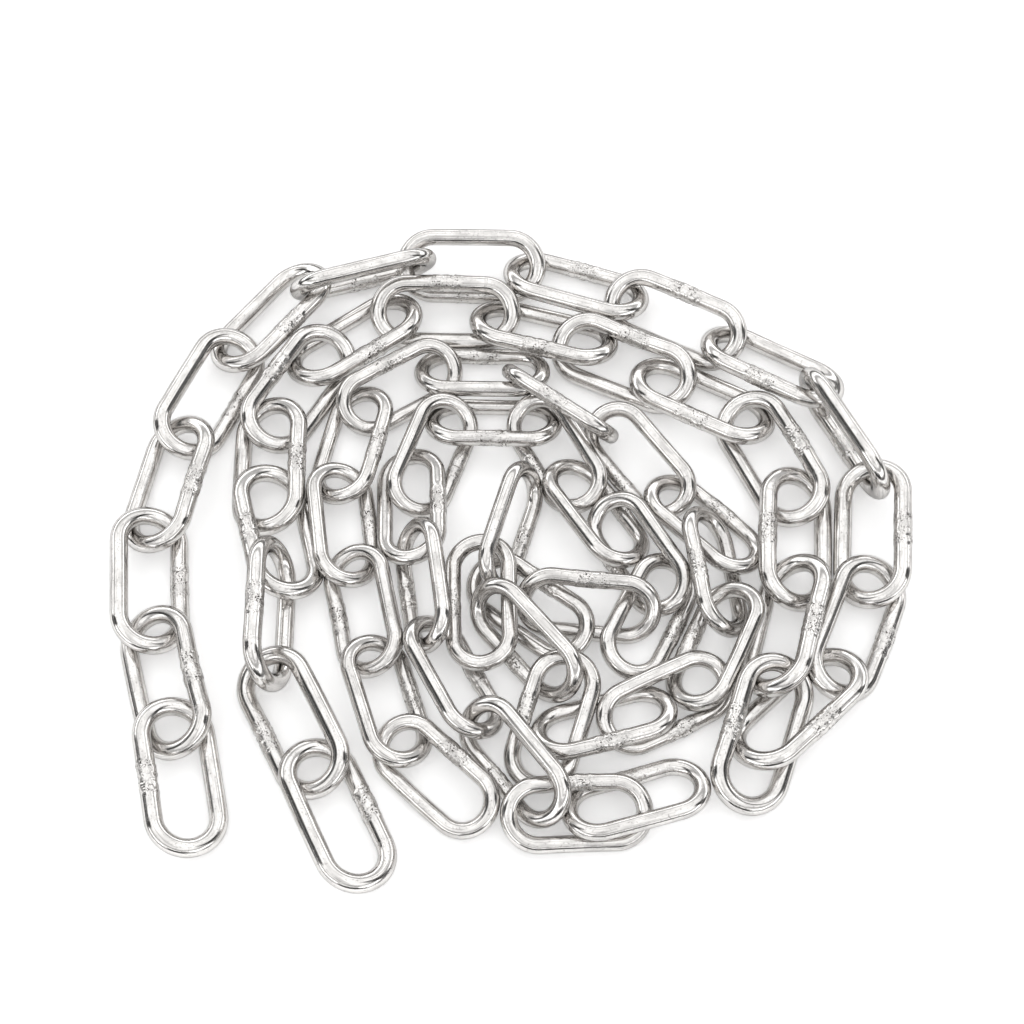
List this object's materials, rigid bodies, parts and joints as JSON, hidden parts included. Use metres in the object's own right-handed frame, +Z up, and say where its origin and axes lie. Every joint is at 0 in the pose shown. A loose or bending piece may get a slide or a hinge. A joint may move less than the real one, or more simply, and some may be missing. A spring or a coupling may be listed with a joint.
{
  "type": "steel chain heap",
  "caption": "Heap of loose welded steel chain: a length of long round-bar links lying in an open ring round a coiled length of slightly smaller links.",
  "frame": {"origin": "on the floor, under the middle of the heap's bounding box", "axes": "+X to the right as the picture shows the heap, +Y away from the camera, +Z up"},
  "size_m": [0.267, 0.245, 0.0269],
  "materials": {
    "outer_steel": "polished bright steel with faint drawing marks along the bar and a slightly frosted weld swelling on one side of each link",
    "inner_steel": "polished bright steel with faint drawing marks along the bar and a slightly frosted weld swelling on one side of each link"
  },
  "bodies": {
    "root": {"inner_link_01": "inner_steel", "inner_link_02": "inner_steel", "inner_link_03": "inner_steel", "inner_link_04": "inner_steel", "inner_link_05": "inner_steel", "inner_link_06": "inner_steel", "inner_link_07": "inner_steel", "inner_link_08": "inner_steel", "inner_link_09": "inner_steel", "inner_link_10": "inner_steel", "inner_link_11": "inner_steel", "inner_link_12": "inner_steel", "inner_link_13": "inner_steel", "inner_link_14": "inner_steel", "inner_link_15": "inner_steel", "inner_link_16": "inner_steel", "inner_link_21": "inner_steel", "inner_link_22": "inner_steel", "inner_link_23": "inner_steel", "inner_link_24": "inner_steel", "inner_link_25": "inner_steel", "inner_link_26": "inner_steel", "inner_link_27": "inner_steel", "inner_link_28": "inner_steel", "inner_link_29": "inner_steel", "inner_link_30": "inner_steel", "inner_link_31": "inner_steel", "inner_link_32": "inner_steel", "inner_links_17_18": "inner_steel", "inner_links_19_20": "inner_steel", "outer_link_01": "outer_steel", "outer_link_02": "outer_steel", "outer_link_03": "outer_steel", "outer_link_04": "outer_steel", "outer_link_05": "outer_steel", "outer_link_06": "outer_steel", "outer_link_07": "outer_steel", "outer_link_08": "outer_steel", "outer_link_09": "outer_steel", "outer_link_10": "outer_steel", "outer_link_11": "outer_steel", "outer_link_12": "outer_steel", "outer_link_13": "outer_steel", "outer_link_14": "outer_steel", "outer_link_15": "outer_steel", "outer_link_16": "outer_steel", "outer_link_17": "outer_steel", "outer_link_18": "outer_steel", "outer_link_19": "outer_steel", "outer_link_20": "outer_steel", "outer_link_21": "outer_steel", "outer_link_22": "outer_steel", "outer_link_23": "outer_steel", "outer_link_24": "outer_steel", "outer_link_25": "outer_steel", "outer_link_26": "outer_steel", "outer_link_27": "outer_steel", "outer_link_28": "outer_steel", "outer_link_29": "outer_steel", "outer_link_30": "outer_steel"}
  },
  "joints": []
}
